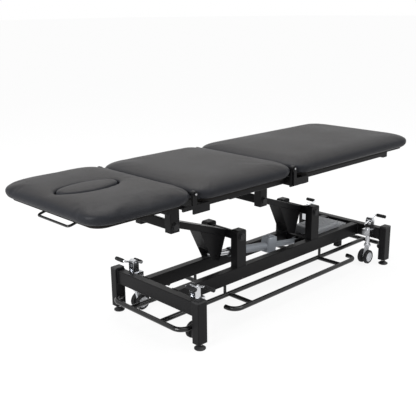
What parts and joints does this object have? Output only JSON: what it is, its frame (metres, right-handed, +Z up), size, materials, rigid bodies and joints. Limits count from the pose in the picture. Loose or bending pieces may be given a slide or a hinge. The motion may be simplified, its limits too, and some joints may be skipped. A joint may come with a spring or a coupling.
{
  "type": "treatment table",
  "caption": "Sectioned treatment table: padded tilting head and leg rests with a face opening, on a parallelogram lift with a foot control bar, levelling feet and retractable castors.",
  "frame": {"origin": "on the floor under the middle of the table's length and width", "axes": "+X along the table toward the foot end, +Y toward the far long side, +Z up"},
  "size_m": [2.033, 0.66, 0.7179],
  "materials": {
    "actuator_grey": "blue-grey moulded housing",
    "black_plastic": "black moulded nylon",
    "black_steel": "black powder coat, fine orange peel, satin",
    "castor_tyre": "black tyre with a pale grey hub",
    "chrome": "bright chrome plate",
    "grey_plastic": "pale grey moulded nylon",
    "light_plastic": "light grey moulded case",
    "plywood": "birch ply under the cushions",
    "rubber": "matt black moulded rubber",
    "steel_rod": "ground steel rod",
    "vinyl": "charcoal upholstery vinyl with a fine grain and a soft sheen",
    "zinc": "dull zinc plate"
  },
  "bodies": {
    "base": {"legs": "black_steel", "leg_caps": "black_plastic", "crossbeams": "black_steel", "long_beams": "black_steel", "base_posts": "black_steel", "lower_pivot_bolts": "zinc", "actuator_tie": "black_steel", "base_fittings": "black_steel", "control_box": "light_plastic", "castor_sleeves": "chrome"},
    "front_arm": {"front_arm": "black_steel", "front_lever": "black_steel"},
    "rear_arm": {"rear_arm": "black_steel", "rear_lever": "black_steel"},
    "actuator": {"actuator_tube": "actuator_grey", "actuator_motor": "actuator_grey"},
    "actuator_rod": {"actuator_rod": "steel_rod"},
    "foot_bar": {"control_bar": "black_steel"},
    "upper_frame": {"mid_frame": "black_steel", "hanging_posts": "black_steel", "upper_pivot_bolts": "zinc", "mid_board": "plywood", "mid_cushion": "vinyl"},
    "head_section": {"head_frame": "black_steel", "head_board": "plywood", "head_cushion": "vinyl"},
    "face_plug": {"face_plug": "vinyl"},
    "release_handle": {"release_handle": "black_steel"},
    "head_strut": {"head_strut": "black_steel"},
    "head_strut_rod": {"head_strut_rod": "steel_rod"},
    "foot_section": {"foot_frame": "black_steel", "foot_board": "plywood", "foot_cushion": "vinyl"},
    "foot_strut": {"foot_strut": "black_steel"},
    "foot_strut_rod": {"foot_strut_rod": "steel_rod"},
    "castor_stem_head_near": {"castor_stem_head_near": "chrome"},
    "castor_fork_head_near": {"castor_fork_head_near": "grey_plastic"},
    "castor_wheels_head_near": {"castor_wheels_head_near": "castor_tyre"},
    "castor_rocker_head_near": {"castor_rocker_head_near": "chrome", "castor_grips_head_near": "rubber"},
    "levelling_foot_head_near": {"levelling_foot_head_near": "black_plastic"},
    "castor_stem_head_far": {"castor_stem_head_far": "chrome"},
    "castor_fork_head_far": {"castor_fork_head_far": "grey_plastic"},
    "castor_wheels_head_far": {"castor_wheels_head_far": "castor_tyre"},
    "castor_rocker_head_far": {"castor_rocker_head_far": "chrome", "castor_grips_head_far": "rubber"},
    "levelling_foot_head_far": {"levelling_foot_head_far": "black_plastic"},
    "castor_stem_foot_near": {"castor_stem_foot_near": "chrome"},
    "castor_fork_foot_near": {"castor_fork_foot_near": "grey_plastic"},
    "castor_wheels_foot_near": {"castor_wheels_foot_near": "castor_tyre"},
    "castor_rocker_foot_near": {"castor_rocker_foot_near": "chrome", "castor_grips_foot_near": "rubber"},
    "levelling_foot_foot_near": {"levelling_foot_foot_near": "black_plastic"},
    "castor_stem_foot_far": {"castor_stem_foot_far": "chrome"},
    "castor_fork_foot_far": {"castor_fork_foot_far": "grey_plastic"},
    "castor_wheels_foot_far": {"castor_wheels_foot_far": "castor_tyre"},
    "castor_rocker_foot_far": {"castor_rocker_foot_far": "chrome", "castor_grips_foot_far": "rubber"},
    "levelling_foot_foot_far": {"levelling_foot_foot_far": "black_plastic"}
  },
  "joints": [
    {"name": "lift", "type": "hinge", "parent": "base", "child": "front_arm", "pos_m": [-0.07188, 0, 0.351], "axis": [0, 1, 0], "range_deg": [-27, 32]},
    {"name": "frame_level", "type": "hinge", "parent": "front_arm", "child": "upper_frame", "pos_m": [-0.4725, 0, 0.49287], "axis": [0, 1, 0], "range_deg": [-32.1, 27.1]},
    {"name": "rear_lift", "type": "hinge", "parent": "base", "child": "rear_arm", "pos_m": [0.47812, 0, 0.351], "axis": [0, 1, 0], "range_deg": [-27.1, 32.1]},
    {"name": "actuator_tilt", "type": "hinge", "parent": "base", "child": "actuator", "pos_m": [0.46312, 0, 0.172], "axis": [0, 1, 0], "range_deg": [-3.22, 3.78]},
    {"name": "actuator_stroke", "type": "slide", "parent": "actuator", "child": "actuator_rod", "axis": [-0.9907, 0, 0.1358], "range_m": [-0.04706, 0.05568]},
    {"name": "head_tilt", "type": "hinge", "parent": "upper_frame", "child": "head_section", "pos_m": [-0.5365, 0, 0.67987], "axis": [0, 1, 0], "range_deg": [-30, 30]},
    {"name": "head_strut_turn", "type": "hinge", "parent": "head_section", "child": "head_strut", "pos_m": [-0.8465, 0.15, 0.61787], "axis": [0, 1, 0], "range_deg": [-2.38, 2.38]},
    {"name": "head_strut_stroke", "type": "slide", "parent": "head_strut", "child": "head_strut_rod", "axis": [0.9885, 0, -0.1514], "range_m": [-0.0559, 0.0559]},
    {"name": "foot_raise", "type": "hinge", "parent": "upper_frame", "child": "foot_section", "pos_m": [0.0575, 0, 0.67987], "axis": [0, -1, 0], "range_deg": [0, 35]},
    {"name": "foot_strut_turn", "type": "hinge", "parent": "foot_section", "child": "foot_strut", "pos_m": [0.4795, 0, 0.61787], "axis": [0, 1, 0], "range_deg": [-1.57, 0.2]},
    {"name": "foot_strut_stroke", "type": "slide", "parent": "foot_strut", "child": "foot_strut_rod", "axis": [-0.991, 0, -0.1341], "range_m": [-0.0005, 0.07615]},
    {"name": "plug_lift", "type": "slide", "parent": "head_section", "child": "face_plug", "axis": [0, 0, 1], "range_m": [0, 0.09]},
    {"name": "release", "type": "hinge", "parent": "head_section", "child": "release_handle", "pos_m": [-0.9165, 0, 0.62087], "axis": [0, 1, 0], "range_deg": [0, 12]},
    {"name": "foot_bar_press", "type": "slide", "parent": "base", "child": "foot_bar", "axis": [0, 0, 1], "range_m": [-0.008, 0.008]},
    {"name": "castor_drop_head_near", "type": "slide", "parent": "base", "child": "castor_stem_head_near", "axis": [0, 0, -1], "range_m": [0, 0.018]},
    {"name": "castor_swivel_head_near", "type": "hinge", "parent": "castor_stem_head_near", "child": "castor_fork_head_near", "pos_m": [-0.43488, -0.205, 0.11], "axis": [0, 0, 1], "continuous": true},
    {"name": "castor_roll_head_near", "type": "hinge", "parent": "castor_fork_head_near", "child": "castor_wheels_head_near", "pos_m": [-0.44988, -0.205, 0.0455], "axis": [0, 1, 0], "continuous": true},
    {"name": "castor_rocker_head_near", "type": "hinge", "parent": "base", "child": "castor_rocker_head_near", "pos_m": [-0.44888, -0.205, 0.246], "axis": [0, -1, 0], "range_deg": [0, 34.1]},
    {"name": "foot_level_head_near", "type": "slide", "parent": "base", "child": "levelling_foot_head_near", "axis": [0, 0, -1], "range_m": [0, 0.012]},
    {"name": "castor_drop_head_far", "type": "slide", "parent": "base", "child": "castor_stem_head_far", "axis": [0, 0, -1], "range_m": [0, 0.018]},
    {"name": "castor_swivel_head_far", "type": "hinge", "parent": "castor_stem_head_far", "child": "castor_fork_head_far", "pos_m": [-0.43488, 0.205, 0.11], "axis": [0, 0, 1], "continuous": true},
    {"name": "castor_roll_head_far", "type": "hinge", "parent": "castor_fork_head_far", "child": "castor_wheels_head_far", "pos_m": [-0.41988, 0.205, 0.0455], "axis": [0, 1, 0], "continuous": true},
    {"name": "castor_rocker_head_far", "type": "hinge", "parent": "base", "child": "castor_rocker_head_far", "pos_m": [-0.44888, 0.205, 0.246], "axis": [0, -1, 0], "range_deg": [0, 34.1]},
    {"name": "foot_level_head_far", "type": "slide", "parent": "base", "child": "levelling_foot_head_far", "axis": [0, 0, -1], "range_m": [0, 0.012]},
    {"name": "castor_drop_foot_near", "type": "slide", "parent": "base", "child": "castor_stem_foot_near", "axis": [0, 0, -1], "range_m": [0, 0.018]},
    {"name": "castor_swivel_foot_near", "type": "hinge", "parent": "castor_stem_foot_near", "child": "castor_fork_foot_near", "pos_m": [0.83712, -0.205, 0.11], "axis": [0, 0, 1], "continuous": true},
    {"name": "castor_roll_foot_near", "type": "hinge", "parent": "castor_fork_foot_near", "child": "castor_wheels_foot_near", "pos_m": [0.82212, -0.205, 0.0455], "axis": [0, 1, 0], "continuous": true},
    {"name": "castor_rocker_foot_near", "type": "hinge", "parent": "base", "child": "castor_rocker_foot_near", "pos_m": [0.85112, -0.205, 0.246], "axis": [0, 1, 0], "range_deg": [0, 34.1]},
    {"name": "foot_level_foot_near", "type": "slide", "parent": "base", "child": "levelling_foot_foot_near", "axis": [0, 0, -1], "range_m": [0, 0.012]},
    {"name": "castor_drop_foot_far", "type": "slide", "parent": "base", "child": "castor_stem_foot_far", "axis": [0, 0, -1], "range_m": [0, 0.018]},
    {"name": "castor_swivel_foot_far", "type": "hinge", "parent": "castor_stem_foot_far", "child": "castor_fork_foot_far", "pos_m": [0.83712, 0.205, 0.11], "axis": [0, 0, 1], "continuous": true},
    {"name": "castor_roll_foot_far", "type": "hinge", "parent": "castor_fork_foot_far", "child": "castor_wheels_foot_far", "pos_m": [0.85212, 0.205, 0.0455], "axis": [0, 1, 0], "continuous": true},
    {"name": "castor_rocker_foot_far", "type": "hinge", "parent": "base", "child": "castor_rocker_foot_far", "pos_m": [0.85112, 0.205, 0.246], "axis": [0, 1, 0], "range_deg": [0, 34.1]},
    {"name": "foot_level_foot_far", "type": "slide", "parent": "base", "child": "levelling_foot_foot_far", "axis": [0, 0, -1], "range_m": [0, 0.012]}
  ],
  "couplings": [
    {"joint": "frame_level", "follows": "lift", "ratio": -1},
    {"joint": "rear_lift", "follows": "lift", "ratio": 1},
    {"joint": "actuator_tilt", "follows": "lift", "ratio": 0.11182},
    {"joint": "actuator_stroke", "follows": "lift", "m_per_rad": 0.098799},
    {"joint": "head_strut_turn", "follows": "head_tilt", "ratio": -0.07271},
    {"joint": "head_strut_stroke", "follows": "head_tilt", "m_per_rad": 0.10581},
    {"joint": "foot_strut_turn", "follows": "foot_raise", "ratio": -0.03904},
    {"joint": "foot_strut_stroke", "follows": "foot_raise", "m_per_rad": 0.12384},
    {"joint": "castor_rocker_head_near", "follows": "castor_drop_head_near", "rad_per_m": 32.967},
    {"joint": "castor_rocker_head_far", "follows": "castor_drop_head_far", "rad_per_m": 32.967},
    {"joint": "castor_rocker_foot_near", "follows": "castor_drop_foot_near", "rad_per_m": 32.967},
    {"joint": "castor_rocker_foot_far", "follows": "castor_drop_foot_far", "rad_per_m": 32.967}
  ]
}
